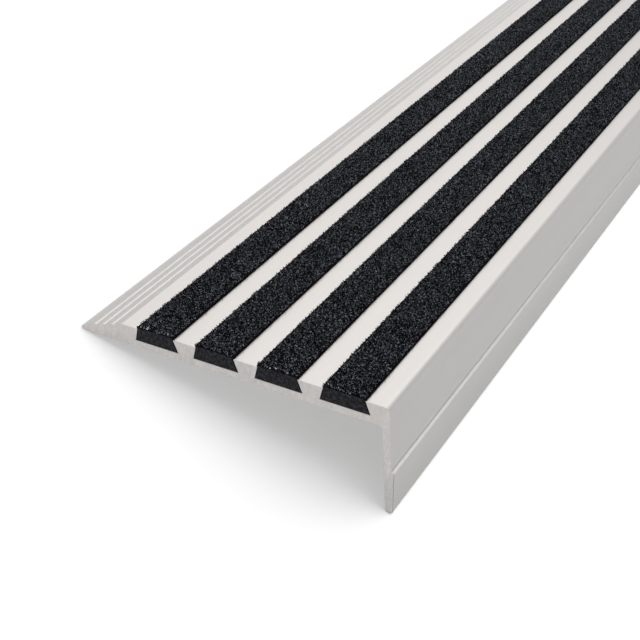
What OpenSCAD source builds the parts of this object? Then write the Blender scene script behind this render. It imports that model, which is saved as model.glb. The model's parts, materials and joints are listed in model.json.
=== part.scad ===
// Stair nosing: an aluminium extrusion with a feathered back edge, a flat tread with four
// dovetail grooves, a grit strip in each groove, and a riser leg with a stepped lower lip.
// Sizes are in millimetres. The section is drawn with its tread level, its back tip at the
// left and its riser at the right, then laid down on its back tip and the foot of its leg.

/* [Stock] */
// Length of the piece
length = 600; // [150:50:1200]
// Depth of the tread from the back tip to the riser's upper face
tread_depth = 70.5; // [68:0.5:90]
// Thickness of the tread, from its underside to the lands between the strips
tread_t = 4.5; // [4:0.1:6]
// Radius along the tread's front top edge
front_edge_r = 0.9; // [0.3:0.1:1.4]

/* [Feathered back edge] */
// Radius of the rounded back tip
tip_r = 0.55; // [0.4:0.05:0.8]
// Distance from the back tip to the start of the first land
ramp_length = 11; // [10.5:0.5:13]
// Number of narrow level terraces on the ramp
terrace_count = 3; // [0:1:3]
// Distance from the back tip to the first terrace
terrace_start = 3.65; // [2.5:0.05:4]
// Distance from one terrace to the next
terrace_pitch = 2.35; // [1.5:0.05:2.4]
// Width of a terrace
terrace_width = 0.7; // [0.4:0.05:1]

/* [Grooves] */
// Distance from the back tip to the first groove's mouth
groove_start = 15.1; // [14:0.1:16.5]
// Distance from one groove to the next
groove_pitch = 14; // [12.5:0.1:14.2]
// Width of a groove at its mouth
groove_mouth = 8.6; // [6:0.1:9]
// How far each side of a groove leans outward between mouth and floor
groove_undercut = 0.9; // [0.3:0.1:1.2]
// Thickness of metal left under a groove
groove_floor = 1.6; // [1.2:0.1:2]

/* [Grit strips] */
// Height of a strip's top above the lands
strip_proud = 0.5; // [0.2:0.1:1]
// Clearance between a strip's sides and the groove's sides
strip_gap = 0.05; // [0.02:0.01:0.1]

/* [Riser leg] */
// Thickness of the leg above its lip
leg_t = 1.6; // [1.4:0.1:2.4]
// Reach of the leg below the tread's underside
leg_drop = 20.3; // [18:0.1:35]
// Radius in the inner corner between tread and leg
inner_r = 1.2; // [0.5:0.1:2]
// Depth of the lip's ledge below the tread's underside
lip_drop = 10.1; // [6:0.1:12]
// Width of the lip's ledge
lip_step = 0.5; // [0.3:0.1:1]
// Radius along the ledge's outer edge
lip_edge_r = 0.2; // [0.1:0.05:0.25]

/* [Colours] */
// Colour of the extrusion
metal_colour = [0.80, 0.79, 0.77];
// Colour of the strips
grit_colour = [0.03, 0.03, 0.035];

/* [Hidden] */
$fn = 96;
// Angle of the outward normal of the line that touches two circles on one side
function touch(c1, r1, c2, r2, side) =
    let (d = c2 - c1) atan2(d.y, d.x) + side * acos((r1 - r2) / norm(d));
// Point on a circle in a given direction
function on_circle(c, r, a) = c + r * [cos(a), sin(a)];
// Point turned about the origin
function turned(p, a) = [p.x * cos(a) - p.y * sin(a), p.x * sin(a) + p.y * cos(a)];

// The ramp has one slope, touching the tip's circle, with the terraces let into it
tip_c = [tip_r, tip_r];
ramp_normal = touch(tip_c, tip_r, [ramp_length - terrace_count * terrace_width, tread_t], 0, 1);
ramp_foot = on_circle(tip_c, tip_r, ramp_normal);
function ramp_height(u, terraces_passed) =
    ramp_foot.y + (u - ramp_foot.x - terraces_passed * terrace_width) * tan(ramp_normal - 90);
terraces = [for (i = [terrace_count - 1 : -1 : 0])
    let (u = terrace_start + i * terrace_pitch, w = ramp_height(u, i)) each [[u + terrace_width, w], [u, w]]];

// The lip's face touches the ledge's rounded edge and the foot's full round
leg_inner = tread_depth - leg_t;
foot_r = leg_t / 2;
foot_c = [leg_inner + foot_r, foot_r - leg_drop];
ledge_c = [tread_depth + lip_step - lip_edge_r, -lip_drop - lip_edge_r];
lip_normal = touch(ledge_c, lip_edge_r, foot_c, foot_r, 1);

// The piece rests on the tip's circle and the foot's circle, centred over the origin
rest_tilt = -90 - touch(tip_c, tip_r, foot_c, foot_r, -1);
rest_back = turned(tip_c, rest_tilt) - [tip_r, tip_r];
rest_front = turned(foot_c, rest_tilt) + [foot_r, -foot_r];
rest_shift = [-(rest_back.x + rest_front.x) / 2, -rest_back.y];

// One groove for each strip
groove_count = 4;
// Overrun of a cut past the face it opens
cut = 1;
// Overlap that joins a round to the straight faces that touch it
weld = 0.0005;

nosing_profile();
grit_strip_1();
grit_strip_2();
grit_strip_3();
grit_strip_4();

module nosing_profile() color(metal_colour) stock() profile_section();
module grit_strip_1() color(grit_colour) stock() strip_section(0);
module grit_strip_2() color(grit_colour) stock() strip_section(1);
module grit_strip_3() color(grit_colour) stock() strip_section(2);
module grit_strip_4() color(grit_colour) stock() strip_section(3);

// A section, laid at rest and drawn out to the full length, riser toward the front
module stock()
    rotate([90, 0, -90]) linear_extrude(length, center = true)
        translate(rest_shift) rotate(rest_tilt) children();

module profile_section() difference() {
    union() {
        tread();
        leg();
        inner_corner();
    }
    for (i = [0 : groove_count - 1]) groove(i);
    front_edge();
}

// Tread plate with the terraced ramp and the rounded tip
module tread() {
    translate(tip_c) circle(tip_r + weld);
    polygon(concat(
        [tip_c, [tip_r, 0], [tread_depth, 0], [tread_depth, tread_t], [ramp_length, tread_t]],
        terraces, [ramp_foot]
    ));
}

// Upright of even thickness, with a lip that steps out and tapers to a full-round foot
module leg() {
    translate(foot_c) circle(foot_r + weld);
    translate(ledge_c) circle(lip_edge_r + weld);
    polygon([
        [leg_inner, foot_c.y], foot_c, on_circle(foot_c, foot_r, lip_normal),
        on_circle(ledge_c, lip_edge_r, lip_normal), ledge_c, [ledge_c.x, -lip_drop],
        [tread_depth, -lip_drop], [tread_depth, 0], [leg_inner, 0]
    ]);
}

// Hollow rounding between the tread's underside and the leg
module inner_corner() translate([leg_inner, 0]) difference() {
    translate([-inner_r, -inner_r]) square(inner_r);
    translate([-inner_r, -inner_r]) circle(inner_r);
}

// Rounding taken off the tread's front top edge
module front_edge() translate([tread_depth - front_edge_r, tread_t - front_edge_r]) difference() {
    square(front_edge_r + cut);
    circle(front_edge_r);
}

// Dovetail opening, wider at its floor, running out through the lands
module groove(i) translate([groove_start + i * groove_pitch, 0]) {
    dovetail(0);
    translate([0, tread_t]) square([groove_mouth, cut]);
}

// Grit strip: it beds on the groove's floor and stands above the lands
module strip_section(i) translate([groove_start + i * groove_pitch, 0]) {
    dovetail(strip_gap);
    translate([strip_gap, tread_t]) square([groove_mouth - 2 * strip_gap, strip_proud]);
}

module dovetail(gap) polygon([
    [gap, tread_t], [gap - groove_undercut, groove_floor],
    [groove_mouth - gap + groove_undercut, groove_floor], [groove_mouth - gap, tread_t]
]);
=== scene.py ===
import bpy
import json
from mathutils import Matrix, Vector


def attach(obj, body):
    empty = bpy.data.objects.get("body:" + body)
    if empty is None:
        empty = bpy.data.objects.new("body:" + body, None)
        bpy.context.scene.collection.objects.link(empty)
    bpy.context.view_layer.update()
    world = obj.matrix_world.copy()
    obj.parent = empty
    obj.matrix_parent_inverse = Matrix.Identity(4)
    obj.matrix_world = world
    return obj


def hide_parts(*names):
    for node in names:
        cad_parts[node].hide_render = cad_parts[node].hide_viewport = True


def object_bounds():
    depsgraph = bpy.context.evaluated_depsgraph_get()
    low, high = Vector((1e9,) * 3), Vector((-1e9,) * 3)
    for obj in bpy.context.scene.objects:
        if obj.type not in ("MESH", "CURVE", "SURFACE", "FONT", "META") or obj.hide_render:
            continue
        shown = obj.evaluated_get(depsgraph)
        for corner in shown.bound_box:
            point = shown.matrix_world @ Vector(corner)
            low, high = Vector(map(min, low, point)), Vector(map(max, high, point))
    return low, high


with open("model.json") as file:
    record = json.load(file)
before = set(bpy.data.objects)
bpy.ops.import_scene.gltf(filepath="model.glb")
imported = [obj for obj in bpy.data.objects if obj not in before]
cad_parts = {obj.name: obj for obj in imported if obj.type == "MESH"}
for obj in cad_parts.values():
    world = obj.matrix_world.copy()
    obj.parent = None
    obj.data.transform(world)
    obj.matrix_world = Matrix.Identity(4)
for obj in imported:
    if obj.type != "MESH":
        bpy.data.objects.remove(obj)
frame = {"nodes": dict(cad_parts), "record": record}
CAD_BOX = [list(corner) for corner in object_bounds()]

import json
import math
from contextlib import contextmanager

import bmesh
import bpy
import numpy as np
from bpy.props import FloatProperty, FloatVectorProperty, IntProperty, PointerProperty
from mathutils import Vector

bl_info = {
    "name": "Stair nosing",
    "version": (1, 0, 0),
    "blender": (4, 5, 0),
    "location": "3D View > Sidebar > Nosing",
    "description": "Dresses a drawn aluminium stair nosing and the grit strips in its grooves",
    "category": "Object",
}

MM = 0.001

# The frame's nodes, and the directions of the section: the tread is tilted at rest, and the record's
# tread face says which way is up from it
PROFILE_NODE = "nosing_profile"
STRIP_NODES = sorted(name for name in frame["nodes"] if name.startswith("grit_strip_"))
ALONG = Vector((1.0, 0.0, 0.0))
TREAD_UP = -Vector(next(m["axis"] for m in frame["record"]["mounts"] if m["name"] == "tread_bed"))
TO_RISER = ALONG.cross(TREAD_UP)
LENGTH = CAD_BOX[1][0] - CAD_BOX[0][0]
BACK_TIP = min(TO_RISER.dot(v.co) for v in frame["nodes"][PROFILE_NODE].data.vertices)

# Zones of the section in which a finish changes, as heights along the tread's normal, where the lip's
# ledge is at about zero
FOOT_EDGE = (-10.2 * MM, -9.4 * MM)
LIP = (-10.0 * MM, 0.0)
LIP_TOP = (-2.2 * MM, -0.4 * MM)
LEDGE_EDGE = (-0.3 * MM, 0.1 * MM)
BAND_BOTTOM = (0.0, 0.5 * MM)
BAND_TOP = (0.8 * MM, 1.9 * MM)
LEG = (2.0 * MM, 8.0 * MM)

# More such zones, as distances from the back tip along the tread
TIP = (0.3 * MM, 1.4 * MM)
RAMP_TOP = (10.2 * MM, 10.9 * MM)


# Settings that a user would change

class NosingExtrusionSettings(bpy.types.PropertyGroup):
    """Sizes and colours of the extrusion"""
    edge_break: FloatProperty(
        name="Edge break", description="Width taken off each sharp edge of the extrusion",
        default=0.07 * MM, min=0.02 * MM, max=0.3 * MM, precision=5, unit="LENGTH")
    terrace_round: FloatProperty(
        name="Terrace round",
        description="Half width of the rounding where a slope of the ramp meets a level",
        default=0.30 * MM, min=0.05 * MM, max=0.34 * MM, precision=5, unit="LENGTH")
    ledge_hollow: FloatProperty(
        name="Ledge hollow", description="Hollow rounding between the riser face and the lip's ledge",
        default=0.28 * MM, min=0.05 * MM, max=0.3 * MM, precision=5, unit="LENGTH")
    colour: FloatVectorProperty(
        name="Metal", description="Colour of the aluminium",
        default=(0.464, 0.457, 0.4450), min=0, max=1, subtype="COLOR")
    cut_colour: FloatVectorProperty(
        name="Cut metal", description="Colour of the freshly sawn ends",
        default=(0.555, 0.530, 0.513), min=0, max=1, subtype="COLOR")
    # Paler than the metal, to paint highlights on small rounds, terraces and the ledge
    highlight_colour: FloatVectorProperty(
        name="Edges", description="Colour of the edges, made paler to paint highlights on them",
        default=(0.585, 0.574, 0.560), min=0, max=1, subtype="COLOR")
    roughness: FloatProperty(
        name="Roughness", description="Roughness of the drawn faces",
        default=0.42, min=0.1, max=0.9, subtype="FACTOR")
    line_width: FloatProperty(
        name="Draw line", description="Width of the fine lines that the die leaves along the faces",
        default=0.3 * MM, min=0.05 * MM, max=2 * MM, precision=5, unit="LENGTH")
    saw_pitch: FloatProperty(
        name="Saw mark", description="Spacing of the saw marks on the cut ends",
        default=0.45 * MM, min=0.1 * MM, max=2 * MM, precision=5, unit="LENGTH")


class NosingGritSettings(bpy.types.PropertyGroup):
    """Sizes and colours of the grit strips"""
    grain: FloatProperty(
        name="Grain", description="Middle width of a grit grain",
        default=0.54 * MM, min=0.3 * MM, max=1.2 * MM, precision=5, unit="LENGTH")
    spacing: FloatProperty(
        name="Spacing", description="Distance from one grain to the next",
        default=0.38 * MM, min=0.36 * MM, max=2 * MM, precision=5, unit="LENGTH")
    shoulder: FloatProperty(
        name="Shoulder", description="How far the proud part of a strip laps over the lands beside it",
        default=0.18 * MM, min=0.02 * MM, max=0.3 * MM, precision=5, unit="LENGTH")
    bed: FloatProperty(
        name="Resin bed", description="How far the resin between the grains lies below the strip's top",
        default=0.20 * MM, min=0, max=0.4 * MM, precision=5, unit="LENGTH")
    end_round: FloatProperty(
        name="End round", description="Rounding of the edges round a strip's cut ends",
        default=0.13 * MM, min=0.02 * MM, max=0.2 * MM, precision=5, unit="LENGTH")
    colour: FloatVectorProperty(
        name="Grit", description="Colour of most of the grains",
        default=(0.0430, 0.0453, 0.0524), min=0, max=1, subtype="COLOR")
    dull_share: FloatProperty(
        name="Dull share", description="Share of the grains' facets that are dull black",
        default=0.3, min=0, max=1, subtype="FACTOR")
    body: FloatVectorProperty(
        name="Strip body", description="Colour of the strip's sides and cut ends",
        default=(0.0098, 0.0100, 0.0128), min=0, max=1, subtype="COLOR")
    seed: IntProperty(name="Seed", description="Start of the random scatter", default=7, min=0)


class NosingStageSettings(bpy.types.PropertyGroup):
    """Floor, light and camera"""
    floor: FloatVectorProperty(
        name="Floor", description="Colour of the floor",
        default=(0.95, 0.95, 0.95), min=0, max=1, subtype="COLOR")
    floor_glow: FloatProperty(
        name="Floor glow", description="How far shadows on the floor are lifted toward white",
        default=0.36, min=0, max=1, subtype="FACTOR")
    sky: FloatProperty(
        name="Room light", description="Brightness of the room all round",
        default=0.35, min=0, max=2)
    overhead: FloatProperty(
        name="Overhead lamp", description="Power of the lamp above the piece",
        default=19.0, min=0, unit="POWER")
    panel: FloatProperty(
        name="Ceiling panel", description="Power of the wide dim panel over the piece",
        default=10.0, min=0, unit="POWER")
    softbox: FloatProperty(
        name="Softbox", description="Power of the low lamp behind the piece",
        default=5.4, min=0, unit="POWER")
    lens: FloatProperty(
        name="Lens", description="Focal length on a 36 mm wide sensor",
        default=63.1329, min=10, unit="CAMERA")
    camera_place: FloatVectorProperty(
        name="Camera", description="Where the camera stands",
        default=(-0.433016, -0.066497, 0.160234), subtype="TRANSLATION")
    camera_turn: FloatVectorProperty(
        name="Turn", description="Which way the camera looks",
        default=tuple(math.radians(a) for a in (47.790047, -10.774375, -58.570836)), subtype="EULER")


# Shader maths

class Wire:
    """A socket of a material; arithmetic on it adds Math nodes."""

    def __init__(self, finish, socket):
        self.finish, self.socket = finish, socket

    def maths(self, operation, left, right):
        """Adds a Math node."""
        return self.finish.node("ShaderNodeMath", {"operation": operation}, {0: left, 1: right})

    def __add__(self, other):
        return self.maths("ADD", self, other)

    def __radd__(self, other):
        return self.maths("ADD", other, self)

    def __sub__(self, other):
        return self.maths("SUBTRACT", self, other)

    def __rsub__(self, other):
        return self.maths("SUBTRACT", other, self)

    def __mul__(self, other):
        return self.maths("MULTIPLY", self, other)

    def __rmul__(self, other):
        return self.maths("MULTIPLY", other, self)

    def __pow__(self, other):
        return self.maths("POWER", self, other)

    def __rpow__(self, other):
        return self.maths("POWER", other, self)


class Finish:
    """A node material in the making."""

    def __init__(self, name, owner=None):
        self.owner = owner or bpy.data.materials.new(name)
        self.owner.use_nodes = True
        self.tree = self.owner.node_tree
        self.tree.nodes.clear()

    def node(self, kind, settings=None, sockets=None, out=0):
        """Adds a node with its settings, then its sockets' values or links, and gives one output."""
        made = self.tree.nodes.new(kind)
        for key, value in (settings or {}).items():
            setattr(made, key, value)
        for key, value in (sockets or {}).items():
            if isinstance(value, Wire):
                self.tree.links.new(value.socket, made.inputs[key])
            else:
                made.inputs[key].default_value = value
        return Wire(self, made.outputs[out]) if made.outputs else None

    def here(self):
        """The piece's own coordinates, in metres."""
        return self.node("ShaderNodeTexCoord", out="Object")

    def reach(self, way):
        """How far a point lies from the origin in a direction, in metres."""
        return self.node(
            "ShaderNodeVectorMath", {"operation": "DOT_PRODUCT"}, {0: self.here(), 1: way}, out="Value")

    def height(self):
        """Height along the tread's normal, where the lip's ledge is at about zero."""
        return self.reach(TREAD_UP)

    def from_tip(self):
        """Distance from the back tip along the tread."""
        return self.reach(TO_RISER) - BACK_TIP

    def noise(self, waves, detail=2.0, roughness=0.5):
        """Noise of about a half, with so many waves a metre along X, Y and Z."""
        place = self.node("ShaderNodeMapping", {}, {"Vector": self.here(), "Scale": waves})
        return self.node("ShaderNodeTexNoise", {"noise_dimensions": "3D"}, {
            "Vector": place, "Scale": 1.0, "Detail": detail, "Roughness": roughness})

    def fade(self, value, zone, start=0.0, end=1.0):
        """Goes from a start to an end while a value crosses a zone, and keeps them outside it."""
        return self.node("ShaderNodeMapRange", {}, {
            "Value": value, "From Min": zone[0], "From Max": zone[1], "To Min": start, "To Max": end})

    def blend(self, factor, first, second):
        """A colour between two colours."""
        # The colours of a Mix node are its inputs 6 and 7, and their mix is its output 2
        return self.node("ShaderNodeMix", {"data_type": "RGBA"}, {0: factor, 6: first, 7: second}, out=2)

    def tint(self, colour, level):
        """A colour made lighter or darker by a value."""
        levels = self.node("ShaderNodeCombineXYZ", {}, {0: level, 1: level, 2: level})
        return self.node("ShaderNodeVectorMath", {"operation": "MULTIPLY"}, {0: colour, 1: levels})

    def bump(self, height, strength, depth):
        """Fine relief for the Normal socket."""
        return self.node(
            "ShaderNodeBump", {}, {"Height": height, "Strength": strength, "Distance": depth})

    def seen(self):
        """One where the camera, a reflection or clear glass looks, and zero for other light."""
        camera, glossy, clear = (self.node("ShaderNodeLightPath", out=way) for way in (
            "Is Camera Ray", "Is Glossy Ray", "Is Transmission Ray"))
        return self.node(
            "ShaderNodeMath", {"operation": "ADD", "use_clamp": True}, {0: camera + glossy, 1: clear})

    def surface(self, **sockets):
        """Closes the material with a Principled shader, whose sockets are named with underscores."""
        named = {key.replace("_", " "): value for key, value in sockets.items()}
        shader = self.node("ShaderNodeBsdfPrincipled", {}, named)
        self.node("ShaderNodeOutputMaterial", {}, {"Surface": shader})
        return self.owner


def vary(middle, *effects):
    """A value that noises move about its middle, each through a range of its own."""
    value = middle - sum(spread for spread, noise in effects) / 2
    for spread, noise in effects:
        value = value + spread * noise
    return value


def rgba(colour):
    """A colour with full opacity."""
    return (*colour, 1.0)


def grey(level):
    """A grey with full opacity."""
    return rgba((level, level, level))


# Finishes of the metal

def drawn_aluminium(settings):
    """Drawn faces: satin, with fine die lines along the length and faint cloudiness."""
    metal = Finish("drawn aluminium")
    across = 1.0 / settings.line_width
    lines = metal.noise(waves=(8.0, across, across), detail=3.0, roughness=0.6)
    streaks = metal.noise(waves=(3.0, 260.0, 260.0))
    clouds = metal.noise(waves=(90.0, 240.0, 240.0), detail=3.0, roughness=0.55)
    texture = vary(1.0, (0.03, lines), (0.06, streaks), (0.08, clouds))
    # Painted shade darkens the lip toward its foot
    painted_shade_lip = metal.fade(metal.height(), LIP, 0.90, 1.0)
    painted_shade_foot = metal.fade(metal.height(), FOOT_EDGE, 0.80, 1.0)
    # Painted highlights leave the tip and the ramp paler, and painted light lifts the shade from a band
    # over the ledge
    highlit_tip = metal.fade(metal.from_tip(), TIP, 1.16, 1.0)
    highlit_ramp = metal.fade(metal.from_tip(), RAMP_TOP, 1.02, 1.0)
    band = metal.fade(metal.height(), BAND_BOTTOM) * metal.fade(metal.height(), BAND_TOP, 1.0, 0.0)
    painted_light_band = 1.0 + 0.15 * band
    return metal.surface(
        Base_Color=metal.tint(
            settings.colour, highlit_tip * highlit_ramp * painted_shade_lip * painted_shade_foot * painted_light_band * texture),
        Metallic=1.0,
        Roughness=vary(settings.roughness, (0.10, lines), (0.06, clouds)),
        Specular_Tint=grey(0.92),
        Normal=metal.bump(lines, strength=0.12, depth=0.02 * MM))


def sawn_aluminium(settings):
    """Cut ends: straight saw marks, specks and smears, on metal that is greyer on the lip."""
    metal = Finish("sawn aluminium")
    marks = metal.noise(waves=(1.0, 1.0 / settings.saw_pitch, 90.0), roughness=0.6)
    specks = metal.noise(waves=(1300.0, 1300.0, 1300.0))
    smears = metal.noise(waves=(300.0, 420.0, 420.0), detail=3.0, roughness=0.6)
    texture = vary(1.0, (0.28, marks), (0.28, specks), (0.24, smears))
    above_lip = metal.fade(metal.height(), LIP_TOP)
    colour = metal.blend(above_lip, rgba(settings.colour), rgba(settings.cut_colour))
    pale_lip = metal.fade(metal.height(), LIP_TOP, 1.07, 1.0)
    # Painted shade darkens the cut end at the lip's foot
    painted_shade_foot = metal.fade(metal.height(), FOOT_EDGE, 0.75, 1.0)
    rougher = settings.roughness + 0.06
    return metal.surface(
        Base_Color=metal.tint(colour, pale_lip * painted_shade_foot * texture),
        Metallic=1.0,
        Roughness=vary(rougher, (0.10, marks)),
        Normal=metal.bump(marks, strength=0.15, depth=0.02 * MM))


def highlit_aluminium(settings):
    """Terraces, small rounds and the ledge: paler than the faces beside them, as painted highlights."""
    metal = Finish("rubbed edge")
    wear = metal.noise(waves=(350.0, 900.0, 900.0), roughness=0.6)
    # Painted highlights make the tip, the ledge and the higher terraces paler
    highlit_tip = metal.fade(metal.from_tip(), TIP, 1.16, 1.0)
    highlit_ledge = metal.fade(metal.height(), LEDGE_EDGE, 1.36, 0.96)
    highlit_terraces = metal.fade(metal.height(), LEG, 1.0, 1.12)
    return metal.surface(
        Base_Color=metal.tint(
            settings.highlight_colour, highlit_tip * highlit_ledge * highlit_terraces * vary(1.0, (0.24, wear))),
        Metallic=1.0,
        Roughness=vary(0.38, (0.16, wear)),
        Specular_Tint=grey(0.45))


def burred_aluminium(settings):
    """Corner of the lip's cut ends: a fine burr, darker than the metal beside it."""
    metal = Finish("saw burr")
    blotches = metal.noise(waves=(900.0, 900.0, 900.0))
    return metal.surface(
        Base_Color=metal.tint(settings.colour, vary(0.525, (0.55, blotches))),
        Metallic=1.0,
        Roughness=vary(0.6, (0.2, blotches)))


# The order of the extrusion's material slots
METAL_FINISHES = (drawn_aluminium, sawn_aluminium, highlit_aluminium, burred_aluminium)
DRAWN, SAWN, HIGHLIT, BURRED = range(len(METAL_FINISHES))


# Finishes of the grit strips

# Name of the attribute with each facet's tone
GRAIN_TONE = "grain_tone"
# Flecks a metre within the grains, and the power that makes most of them dark
FLECKS = 5200.0
FLECK_POWER = 2.3


def grit_grain(settings):
    """Grains: black, with a tone for each facet and flecks within it."""
    grit = Finish("grit grain")
    tone = grit.node("ShaderNodeAttribute", {"attribute_name": GRAIN_TONE}, out="Fac")
    cells = grit.node("ShaderNodeTexVoronoi", {}, {"Vector": grit.here(), "Scale": FLECKS}, out="Color")
    fleck = grit.node("ShaderNodeSeparateColor", {}, {"Color": cells}, out="Red")
    # Evenly spread values raised to a power have a mean of one over the power plus one
    flecks = (1.0 + FLECK_POWER) * fleck ** FLECK_POWER
    return grit.surface(
        Base_Color=grit.tint(settings.colour, tone * flecks),
        Roughness=0.55,
        Specular_IOR_Level=0.02)


def strip_body(settings):
    """Cut ends of a strip: filled black resin, mottled by the grains that the saw went through."""
    resin = Finish("strip body")
    mottle = resin.noise(waves=(1500.0, 1500.0, 1500.0), detail=4.0, roughness=0.7)
    # Values of the mottle between which it turns from resin to a cut grain
    cut_grain = (0.44, 0.60)
    return resin.surface(
        Base_Color=resin.tint(settings.body, resin.fade(mottle, cut_grain, 0.0, 3.0)),
        Roughness=vary(0.62, (0.2, mottle)),
        Specular_IOR_Level=0.12,
        Normal=resin.bump(mottle, strength=0.25, depth=0.06 * MM))


def strip_side(settings):
    """Sides and edges of a strip, and the resin between its grains: duller than the cut ends, and darker
    as painted shade.
    """
    resin = Finish("strip side")
    mottle = resin.noise(waves=(300.0, 2400.0, 2400.0), roughness=0.6)
    return resin.surface(
        # The low tone paints shade on the sides and in the gaps between the grains
        Base_Color=resin.tint(settings.body, vary(0.30, (0.3, mottle))),
        Roughness=vary(0.75, (0.2, mottle)),
        Specular_IOR_Level=0.03,
        Normal=resin.bump(mottle, strength=0.2, depth=0.05 * MM))


# Modelling by hand

# Cosines above which a face looks in a direction, and above which it is a cut end
SAME_WAY = 0.99
ENDWISE = 0.95
# Distance within which points of a CAD mesh are one, and turn within which its faces are one
WELD = 0.0005 * MM
FLAT = math.radians(0.2)
# The value with which a bevel takes the finish of the faces beside it
AS_BESIDE = -1


@contextmanager
def editing(piece, elements="FACE"):
    """Edit mode on one piece, with nothing selected."""
    bpy.ops.object.select_all(action="DESELECT")
    piece.select_set(True)
    bpy.context.view_layer.objects.active = piece
    bpy.ops.object.mode_set(mode="EDIT")
    bpy.ops.mesh.select_mode(type=elements)
    bpy.ops.mesh.select_all(action="DESELECT")
    yield
    bpy.ops.object.mode_set(mode="OBJECT")


def pick(piece, elements, wanted):
    """Selects the edges or faces of the piece in edit mode that a test accepts."""
    edit = bmesh.from_edit_mesh(piece.data)
    for element in getattr(edit, elements):
        element.select_set(bool(wanted(element)))
    bmesh.update_edit_mesh(piece.data)


def bevel(piece, wanted, width, segments, finish=AS_BESIDE):
    """Bevels the edges of the piece in edit mode that a test accepts."""
    pick(piece, "edges", wanted)
    bpy.ops.mesh.bevel(
        offset=width, segments=segments, affect="EDGES", clamp_overlap=False, material=finish)


def looks(face, way):
    """Whether a face looks in a direction."""
    return face.normal.dot(way) > SAME_WAY


def endwise(face):
    """Whether a face looks along the length, as the cut ends do."""
    return abs(face.normal.dot(ALONG)) > ENDWISE


def between(edge, *ways):
    """Whether the edge's faces look the given ways."""
    return all(any(looks(face, way) for face in edge.link_faces) for way in ways)


def copy_of(node, name):
    """A CAD node's shape as a piece of its own, merged into closed flat faces."""
    mesh = frame["nodes"][node].data.copy()
    mesh.name = name
    mesh.materials.clear()
    piece = bpy.data.objects.new(name, mesh)
    bpy.context.scene.collection.objects.link(piece)
    with editing(piece):
        bpy.ops.mesh.select_all(action="SELECT")
        bpy.ops.mesh.remove_doubles(threshold=WELD)
        bpy.ops.mesh.dissolve_limited(angle_limit=FLAT)
        bpy.ops.mesh.customdata_custom_splitnormals_clear()
    return piece


def apply_modifier(piece, kind, **settings):
    """Adds a modifier to a piece and applies it."""
    made = piece.modifiers.new(kind.lower(), kind)
    for key, value in settings.items():
        setattr(made, key, value)
    bpy.context.view_layer.objects.active = piece
    bpy.ops.object.modifier_apply(modifier=made.name)


def seat(piece, node):
    """Puts a finished piece in place of its CAD node."""
    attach(piece, "root")
    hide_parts(node)


# The extrusion

# Widest face of a small round, and widest terrace
ROUND_FACET = 0.04 * MM
TERRACE = 1.0 * MM
# Turn of the faces at an edge that counts as sharp, and the most at a crest of the ramp
SHARP = math.radians(15)
RAMP_CREST = math.radians(30)
# How far a burred face turns both along the length and to the riser, and the height that it is below
BURR_TURN = 0.2
BURR_TOP = -1.0 * MM
# Turn up to which faces are shaded as one
SMOOTH = math.radians(24)


def is_highlit(face):
    """Whether a long face is a facet of a small round, or a terrace of the ramp at the back: faces that
    get painted highlights.
    """
    width = face.area / LENGTH
    on_terrace = looks(face, TREAD_UP) and width < TERRACE and face.center.y > 0.0
    return width < ROUND_FACET or on_terrace


def is_burred(face):
    """Whether a face is the broken edge between a cut end and the lip's outer face."""
    turned = min(abs(face.normal.dot(ALONG)), face.normal.dot(TO_RISER))
    return turned > BURR_TURN and TREAD_UP.dot(face.center) < BURR_TOP


def in_ledge_corner(edge):
    """Whether an edge is the hollow one between the riser face and the lip's ledge."""
    return not edge.is_convex and between(edge, TO_RISER, TREAD_UP)


def is_sharp(edge):
    """Whether an edge is a sharp one that stands out."""
    return edge.is_convex and edge.calc_face_angle() > SHARP


def on_ramp_crest(edge):
    """Whether an edge is one where a slope of the ramp runs out onto a level."""
    return is_sharp(edge) and between(edge, TREAD_UP) and edge.calc_face_angle() < RAMP_CREST


class NOSING_OT_extrusion(bpy.types.Operator):
    """Make the aluminium extrusion, with its sharp edges broken"""
    bl_idname = "nosing.extrusion"
    bl_label = "Aluminium extrusion"

    def execute(self, context):
        settings = context.scene.nosing_extrusion
        piece = copy_of(PROFILE_NODE, "extrusion")
        for finish in METAL_FINISHES:
            piece.data.materials.append(finish(settings))
        for face in piece.data.polygons:
            if endwise(face):
                face.material_index = SAWN
            # Small rounds and terraces take the paler finish that paints highlights
            elif is_highlit(face):
                face.material_index = HIGHLIT
        with editing(piece, "EDGE"):
            # The ledge hollow takes the paler finish that paints highlights too
            bevel(piece, in_ledge_corner, settings.ledge_hollow, segments=4, finish=HIGHLIT)
            bevel(piece, on_ramp_crest, settings.terrace_round, segments=4, finish=DRAWN)
            bevel(piece, is_sharp, settings.edge_break, segments=2)
        for face in piece.data.polygons:
            if is_burred(face):
                face.material_index = BURRED
        bpy.ops.object.shade_smooth_by_angle(angle=SMOOTH)
        apply_modifier(piece, "WEIGHTED_NORMAL", keep_sharp=True)
        seat(piece, PROFILE_NODE)
        return {"FINISHED"}


# The grit strips

# Number of shapes of grain, and a shape's height and knocks as shares of its width
GRAIN_KINDS = 6
GRAIN_HEIGHT = 0.6
GRAIN_KNOCK = 0.10
# Step from row to row of a close-packed net, and how far grains stray from it, in spacings
ROW_STEP = math.sqrt(0.75)
STRAY = 0.32
# Share of a grain's width by which the net is shorter and narrower than a strip's top
NET_INSET = 0.6
# Middle and spread of the logarithm of a grain's size, and the smallest and largest size
SIZE_SPREAD = (-0.06, 0.16)
SIZE_LIMITS = (0.6, 1.2)
# Least height of a grain's middle over the resin, and the range above it
LIFT = 0.11 * MM
LIFT_RANGE = 0.17 * MM
# The toothed back edge: its depth, how far its grains are pushed out, how far past the strip they may
# reach, their height over the resin and their size
BACK_ROW = 0.46 * MM
BACK_PUSH = (0.05 * MM, 0.45 * MM)
BACK_REACH = 0.07 * MM
BACK_LIFT = 0.1 * MM
BACK_SIZE = 0.8
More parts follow.
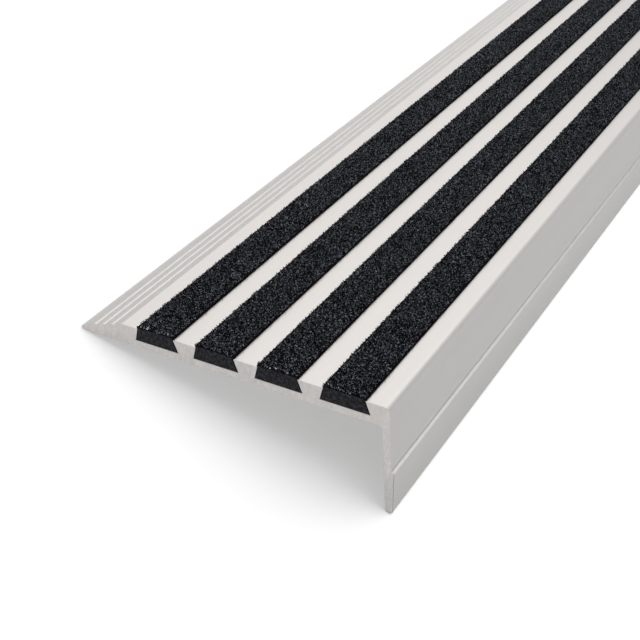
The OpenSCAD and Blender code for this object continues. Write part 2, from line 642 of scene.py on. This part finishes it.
# Spread of the grains' tones, and the depth, share and tones of the pale grains along a sawn end
TONE_SPREAD = 0.08
PALE_DEPTH = 0.8 * MM
PALE_SHARE = 0.5
PALE_TONES = (1.6, 3.6)
# Tones of a grain's facets
DULL_FACET = 0.12
BRIGHT_FACET = 1.3
# The order of a strip's first two material slots
BODY, SIDE = 0, 1


def grain_shapes(width):
    """A few sharp grains, each a three-sided chip knocked out of true, as corners and faces."""
    shapes = []
    for seed in range(GRAIN_KINDS):
        bpy.ops.object.select_all(action="DESELECT")
        bpy.ops.mesh.primitive_cone_add(
            vertices=3, radius1=width / 2, radius2=0, depth=GRAIN_HEIGHT * width)
        chip = bpy.context.active_object
        with editing(chip, "VERT"):
            bpy.ops.mesh.select_all(action="SELECT")
            bpy.ops.transform.vertex_random(
                offset=GRAIN_KNOCK * width, uniform=1.0, normal=0.0, seed=seed)
            bpy.ops.mesh.normals_make_consistent(inside=False)
        corners = np.array([v.co for v in chip.data.vertices])
        faces = np.array([face.vertices for face in chip.data.polygons])
        shapes.append((corners - corners.mean(0), faces))
        mesh = chip.data
        bpy.data.objects.remove(chip)
        bpy.data.meshes.remove(mesh)
    return shapes


def random_turns(rng, count):
    """Evenly spread random rotations, as matrices."""
    q = rng.normal(size=(count, 4))
    w, x, y, z = (q / np.linalg.norm(q, axis=1, keepdims=True)).T
    return np.stack([
        1 - 2 * (y * y + z * z), 2 * (x * y - z * w), 2 * (x * z + y * w),
        2 * (x * y + z * w), 1 - 2 * (x * x + z * z), 2 * (y * z - x * w),
        2 * (x * z - y * w), 2 * (y * z + x * w), 1 - 2 * (x * x + y * y)], 1).reshape(-1, 3, 3)


def scatter(rng, length, width, spacing):
    """Points a little out of line on a close-packed net, from the middle of a rectangle."""
    rows = int(round(width / (spacing * ROW_STEP)))
    columns = int(length / spacing)
    row_places = (np.arange(rows) + 0.5) / rows - 0.5
    column_places = (np.arange(columns) + 0.5) / columns - 0.5
    across, along = np.meshgrid(row_places, column_places, indexing="ij")
    # Every other row is half a step further along
    along = along + (np.arange(rows)[:, None] % 2 - 0.5) * 0.5 / columns
    points = np.stack([along.ravel() * length, across.ravel() * width], 1)
    points += rng.uniform(-STRAY, STRAY, points.shape) * spacing
    return np.clip(points, [-length / 2, -width / 2], [length / 2, width / 2])


def top_face(piece):
    """Middle, length and width of a strip's top face."""
    top = max(piece.data.polygons, key=lambda face: face.normal.dot(TREAD_UP) * face.area)
    corners = np.array([piece.data.vertices[i].co for i in top.vertices])
    middle = (corners.min(0) + corners.max(0)) / 2
    return middle, np.ptp(corners @ np.array(ALONG)), np.ptp(corners @ np.array(TO_RISER))


def tooth_back_edge(rng, spots, lift, size, half_width):
    """Pushes the grains along the back edge of a strip out unevenly, so that the edge is toothed."""
    back = spots[:, 1] < BACK_ROW - half_width
    spots[:, 1] -= back * rng.uniform(*BACK_PUSH, len(spots))
    spots[:, 1] = np.maximum(spots[:, 1], -BACK_REACH - half_width)
    lift[back] = BACK_LIFT
    size[back] *= BACK_SIZE


def grain_tones(rng, from_end):
    """A tone for each grain, with pale ones among those at a sawn end."""
    tone = np.exp(rng.normal(0.0, TONE_SPREAD, len(from_end)))
    pale = (from_end < PALE_DEPTH) & (rng.random(len(from_end)) < PALE_SHARE)
    return np.where(pale, rng.uniform(*PALE_TONES, len(from_end)), tone)


def grit_layer(name, bed, settings, shapes, rng):
    """Grains over a strip's top face and shoulders, joined in one mesh."""
    middle, length, width = top_face(bed)
    width += 2 * settings.shoulder
    inset = NET_INSET * settings.grain
    spots = scatter(rng, length - inset, width - inset, settings.spacing)
    count = len(spots)
    size = np.clip(rng.lognormal(*SIZE_SPREAD, count), *SIZE_LIMITS)
    lift = LIFT + LIFT_RANGE * rng.random(count)
    tooth_back_edge(rng, spots, lift, size, width / 2)
    tone = grain_tones(rng, length / 2 - np.abs(spots[:, 0]))
    axes = np.array([ALONG, TO_RISER, TREAD_UP])
    place = middle + spots @ axes[:2] + lift[:, None] * axes[2]
    turns = random_turns(rng, count)
    kind = rng.integers(len(shapes), size=count)
    points, faces, tones = [], [], []
    start = 0
    for index, (corners, triangles) in enumerate(shapes):
        chosen = np.flatnonzero(kind == index)
        turned = np.einsum("nij,kj->nki", turns[chosen], corners) * size[chosen, None, None]
        points.append((turned + place[chosen, None, :]).reshape(-1, 3))
        first = start + len(corners) * np.arange(len(chosen))
        faces.append((triangles[None] + first[:, None, None]).reshape(-1, 3))
        dull = rng.random((len(chosen), len(triangles))) < settings.dull_share
        tones.append((tone[chosen, None] * np.where(dull, DULL_FACET, BRIGHT_FACET)).ravel())
        start += len(corners) * len(chosen)
    mesh = bpy.data.meshes.new(name)
    mesh.from_pydata(np.concatenate(points), [], np.concatenate(faces))
    facet_tones = mesh.attributes.new(GRAIN_TONE, "FLOAT", "FACE")
    facet_tones.data.foreach_set("value", np.concatenate(tones))
    layer = bpy.data.objects.new(name, mesh)
    bpy.context.scene.collection.objects.link(layer)
    return layer


def borders_cut_end(edge):
    """Whether an edge borders a strip's cut end, other than along its top."""
    return any(endwise(face) for face in edge.link_faces) and not between(edge, TREAD_UP)


class NOSING_OT_grit_strips(bpy.types.Operator):
    """Make the grit strips, each a resin body with a layer of angular grains"""
    bl_idname = "nosing.grit_strips"
    bl_label = "Grit strips"

    def execute(self, context):
        settings = context.scene.nosing_grit
        shapes = grain_shapes(settings.grain)
        body_finish = strip_body(settings)
        side_finish = strip_side(settings)
        grain_finish = grit_grain(settings)
        for number, node in enumerate(STRIP_NODES, 1):
            piece = copy_of(node, "grit_tread_%d" % number)
            with editing(piece):
                pick(piece, "faces", lambda face: looks(face, TREAD_UP))
                bpy.ops.transform.translate(value=-settings.bed * TREAD_UP)
                for way in (TO_RISER, -TO_RISER):
                    pick(piece, "faces", lambda face: looks(face, way))
                    bpy.ops.mesh.extrude_region_move(
                        TRANSFORM_OT_translate={"value": settings.shoulder * way})
            rng = np.random.default_rng(settings.seed + number)
            layer = grit_layer("grains", piece, settings, shapes, rng)
            with editing(piece, "EDGE"):
                bevel(piece, borders_cut_end, settings.end_round, segments=2)
            piece.data.materials.append(body_finish)
            piece.data.materials.append(side_finish)
            for face in piece.data.polygons:
                face.material_index = BODY if endwise(face) else SIDE
            layer.data.materials.append(grain_finish)
            bpy.ops.object.select_all(action="DESELECT")
            layer.select_set(True)
            piece.select_set(True)
            context.view_layer.objects.active = piece
            bpy.ops.object.join()
            seat(piece, node)
        return {"FINISHED"}


# The stage, in metres

FLOOR_SIZE = 8.0
# Distance from the middle over which the floor runs out into white
FLOOR_FADE = (0.6, 1.4)
# What the lamps point at, and how far from it they hang
LAMP_TARGET = Vector((-0.15, 0.0, 0.02))
LAMP_DISTANCE = 1.5
WHITE = (1.0, 1.0, 1.0)
WARM = (1.0, 0.93, 0.91)
# Each lamp's name, direction, width and colour, whether metal mirrors it, and whether it lights matt
# surfaces
LAMPS = (
    ("overhead", (0.14, -0.35, 0.93), 1.55, WHITE, False, True),
    ("softbox", (0.57, 0.58, 0.58), 1.4, WARM, True, False),
    ("panel", (0.10, 0.05, 0.99), 2.4, WHITE, True, True),
)
# Width of the camera's sensor in millimetres, and the nearest thing that it sees
SENSOR_WIDTH = 36.0
NEAREST = 0.01


def lay_floor(settings):
    """A pale floor that runs out into white, with its shadows lifted where they are seen."""
    bpy.ops.object.select_all(action="DESELECT")
    bpy.ops.mesh.primitive_plane_add(size=FLOOR_SIZE)
    floor = bpy.context.active_object
    floor.name = "floor"
    finish = Finish("pale floor")
    paper = finish.noise(waves=(40.0, 40.0, 40.0))
    paint = finish.node(
        "ShaderNodeBsdfDiffuse", {}, {"Color": finish.tint(settings.floor, vary(1.0, (0.01, paper)))})
    glow = finish.node("ShaderNodeEmission", {}, {"Color": rgba(WHITE), "Strength": 1.0})
    away = finish.node("ShaderNodeVectorMath", {"operation": "LENGTH"}, {0: finish.here()}, out="Value")
    lifted = finish.seen() * finish.fade(away, FLOOR_FADE, settings.floor_glow, 1.0)
    shown = finish.node("ShaderNodeMixShader", {}, {0: lifted, 1: paint, 2: glow})
    finish.node("ShaderNodeOutputMaterial", {}, {"Surface": shown})
    floor.data.materials.append(finish.owner)


def light_room(scene, settings):
    """An even room, which the camera and reflections see as white."""
    room = Finish("room", scene.world or bpy.data.worlds.new("room"))
    scene.world = room.owner
    strength = settings.sky + (1.0 - settings.sky) * room.seen()
    light = room.node("ShaderNodeBackground", {}, {"Color": rgba(WHITE), "Strength": strength})
    room.node("ShaderNodeOutputWorld", {}, {"Surface": light})


def hang_lamps(settings):
    """Square soft lamps round the piece, with the powers that the settings give by name."""
    for name, way, width, colour, mirrored, lights_matt in LAMPS:
        bpy.ops.object.light_add(type="AREA", location=LAMP_TARGET + LAMP_DISTANCE * Vector(way))
        lamp = bpy.context.active_object
        lamp.name = name
        lamp.rotation_euler = (LAMP_TARGET - lamp.location).to_track_quat("-Z", "Y").to_euler()
        lamp.data.shape = "SQUARE"
        lamp.data.size = width
        lamp.data.energy = getattr(settings, name)
        lamp.data.color = colour
        lamp.visible_glossy = mirrored
        lamp.visible_diffuse = lights_matt


def set_camera(scene, settings):
    """The camera, and colours shown as they are written."""
    bpy.ops.object.camera_add(location=settings.camera_place, rotation=settings.camera_turn)
    camera = bpy.context.active_object
    camera.data.sensor_fit = "HORIZONTAL"
    camera.data.sensor_width = SENSOR_WIDTH
    camera.data.lens = settings.lens
    camera.data.clip_start = NEAREST
    scene.camera = camera
    scene.view_settings.view_transform = "Standard"


class NOSING_OT_stage(bpy.types.Operator):
    """Set up the floor, the light and the camera"""
    bl_idname = "nosing.stage"
    bl_label = "Stage"

    def execute(self, context):
        settings = context.scene.nosing_stage
        lay_floor(settings)
        light_room(context.scene, settings)
        hang_lamps(settings)
        set_camera(context.scene, settings)
        return {"FINISHED"}


# The add-on

class NOSING_PT_sidebar(bpy.types.Panel):
    """Each operator's settings with its button"""
    bl_idname = "NOSING_PT_sidebar"
    bl_label = "Stair nosing"
    bl_space_type = "VIEW_3D"
    bl_region_type = "UI"
    bl_category = "Nosing"

    def draw(self, context):
        for operator, group in OPERATORS:
            box = self.layout.box()
            settings = getattr(context.scene, group)
            for name in settings.bl_rna.properties.keys():
                if name not in {"rna_type", "name"}:
                    box.prop(settings, name)
            box.operator(operator)


OPERATORS = [
    ("nosing.extrusion", "nosing_extrusion"),
    ("nosing.grit_strips", "nosing_grit"),
    ("nosing.stage", "nosing_stage"),
]
GROUPS = {
    "nosing_extrusion": NosingExtrusionSettings,
    "nosing_grit": NosingGritSettings,
    "nosing_stage": NosingStageSettings,
}
CLASSES = [
    *GROUPS.values(),
    NOSING_OT_extrusion,
    NOSING_OT_grit_strips,
    NOSING_OT_stage,
    NOSING_PT_sidebar,
]


def register():
    """Adds the classes, and their settings on the scene."""
    for cls in CLASSES:
        bpy.utils.register_class(cls)
    for name, group in GROUPS.items():
        setattr(bpy.types.Scene, name, PointerProperty(type=group))


def unregister():
    """Takes out what register adds."""
    for name in GROUPS:
        delattr(bpy.types.Scene, name)
    for cls in reversed(CLASSES):
        bpy.utils.unregister_class(cls)


def main():
    register()
    bpy.ops.nosing.extrusion()
    bpy.ops.nosing.grit_strips()
    bpy.ops.nosing.stage()


if __name__ == "__main__":
    main()
